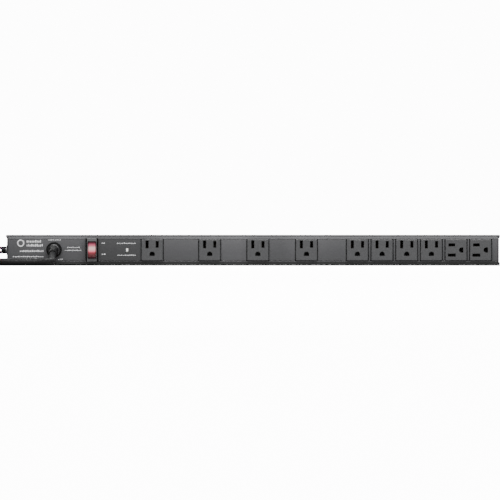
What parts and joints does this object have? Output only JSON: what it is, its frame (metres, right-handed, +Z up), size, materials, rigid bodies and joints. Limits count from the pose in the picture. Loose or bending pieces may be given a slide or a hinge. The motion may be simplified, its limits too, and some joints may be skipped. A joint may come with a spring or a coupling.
{
  "type": "rack power strip",
  "caption": "Long metal power strip with square outlets along its face, a lit rocker switch, a pilot lamp and a coiled mains cord with a plug.",
  "frame": {"origin": "on the bottom wall, at the middle of the channel's length and depth", "axes": "+X along the strip, from the cord end to the turned outlets; the outlets face -Y; +Z up"},
  "size_m": [0.6427, 0.272, 0.0381],
  "materials": {
    "housing": "satin dark grey anodised",
    "end_cap": "dark moulded",
    "screw": "zinc plated",
    "dark_screw": "blackened",
    "contact": "bright stamped",
    "outlet": "fine moulded grey",
    "black_plastic": "moulded black",
    "inner_plastic": "moulded dark",
    "rocker_lens": "translucent red",
    "lamp_lens": "clear diffusing",
    "lamp_glass": "clear glass",
    "board": "solder resist",
    "varistor": "dipped epoxy",
    "capacitor": "moulded box",
    "fuse": "ceramic body",
    "cord_jacket": "matte black jacket",
    "black_wire": "insulated",
    "white_wire": "insulated",
    "green_wire": "insulated"
  },
  "bodies": {
    "chassis": {"housing_channel": "housing", "back_cover": "housing", "left_end_cap": "end_cap", "right_end_cap": "end_cap", "cover_screw_1": "screw", "cover_screw_2": "screw", "cover_screw_3": "screw", "cover_screw_4": "screw", "end_cap_screw_1": "screw", "end_cap_screw_2": "screw", "end_cap_screw_3": "screw", "end_cap_screw_4": "screw", "ground_washer": "screw", "ground_screw": "dark_screw", "line_bus": "contact", "neutral_bus": "contact", "earth_bus": "contact", "terminal_line_in": "contact", "terminal_line_out": "contact", "terminal_lamp": "contact", "plug_neutral_blade": "contact", "plug_line_blade": "contact", "plug_earth_pin": "contact", "outlet_1": "outlet", "outlet_2": "outlet", "outlet_3": "outlet", "outlet_4": "outlet", "outlet_5": "outlet", "outlet_6": "outlet", "outlet_7": "outlet", "outlet_8": "outlet", "outlet_9": "outlet", "outlet_10": "outlet", "switch_frame": "black_plastic", "strain_relief": "black_plastic", "relief_nut": "black_plastic", "bus_carrier": "inner_plastic", "switch_base": "inner_plastic", "cord_tie": "inner_plastic", "pilot_lamp": "lamp_lens", "surge_board": "board", "varistor_1": "varistor", "varistor_2": "varistor", "varistor_3": "varistor", "filter_capacitor": "capacitor", "thermal_fuse": "fuse", "cord": "cord_jacket", "cord_coil": "cord_jacket", "cord_tail": "cord_jacket", "cord_boot": "cord_jacket", "plug_body": "cord_jacket", "line_wire": "black_wire", "switched_wire": "black_wire", "neutral_wire": "white_wire", "bonding_wire": "green_wire", "earth_wire": "green_wire"},
    "rocker": {"rocker": "rocker_lens", "neon_lamp": "lamp_glass", "rocker_plunger": "inner_plastic"},
    "contact_lever": {"contact_lever": "contact"}
  },
  "joints": [
    {"name": "rocker_tilt", "type": "hinge", "parent": "chassis", "child": "rocker", "pos_m": [-0.2005, -0.0215, 0.01905], "axis": [1, 0, 0], "range_deg": [0, 22]},
    {"name": "lever_tilt", "type": "hinge", "parent": "chassis", "child": "contact_lever", "pos_m": [-0.2005, -0.0124, 0.01905], "axis": [-1, 0, 0], "range_deg": [0, 11]}
  ],
  "couplings": [
    {"joint": "lever_tilt", "follows": "rocker_tilt", "ratio": 0.5}
  ]
}
